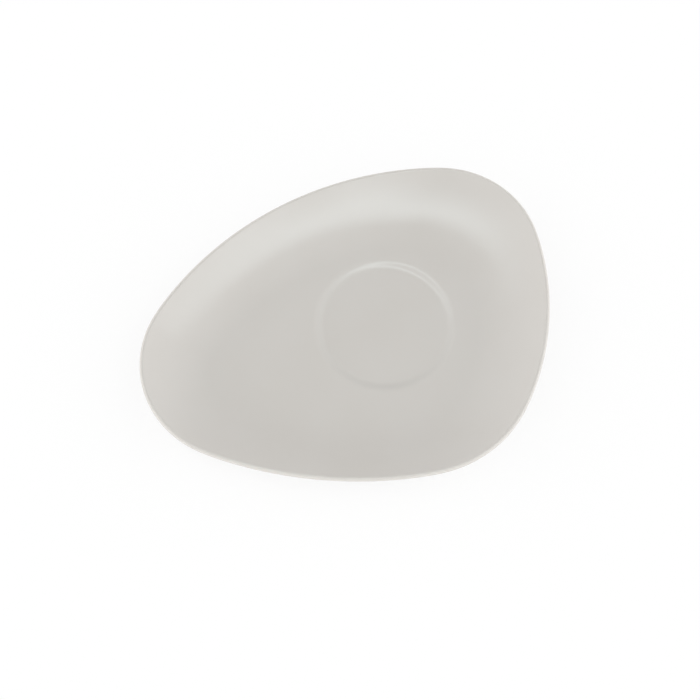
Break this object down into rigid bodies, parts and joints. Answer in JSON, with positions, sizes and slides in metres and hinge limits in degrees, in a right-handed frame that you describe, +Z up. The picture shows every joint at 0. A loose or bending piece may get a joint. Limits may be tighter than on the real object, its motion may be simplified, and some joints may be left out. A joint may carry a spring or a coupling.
{
  "type": "saucer",
  "caption": "Egg-shaped glazed porcelain saucer with a broad upswept rim, a flat well, a shallow round cup seat set towards the broad end, and a bare foot ring to stand on.",
  "frame": {"origin": "middle of the outline's bounding box, on the table that the foot ring stands on", "axes": "+X along the saucer from its narrow tip to its broad end, +Z up out of the well"},
  "size_m": [0.17, 0.131, 0.0165],
  "materials": {
    "fired_clay": "fine matt vitrified porcelain, hidden under the glaze",
    "bare_foot": "unglazed porcelain, ground smooth on the standing face",
    "glaze": "pale warm white clear gloss glaze"
  },
  "bodies": {
    "root": {"porcelain_body": "fired_clay", "foot_ring": "bare_foot", "glaze_coat": "glaze", "base_glaze": "glaze"}
  },
  "joints": []
}
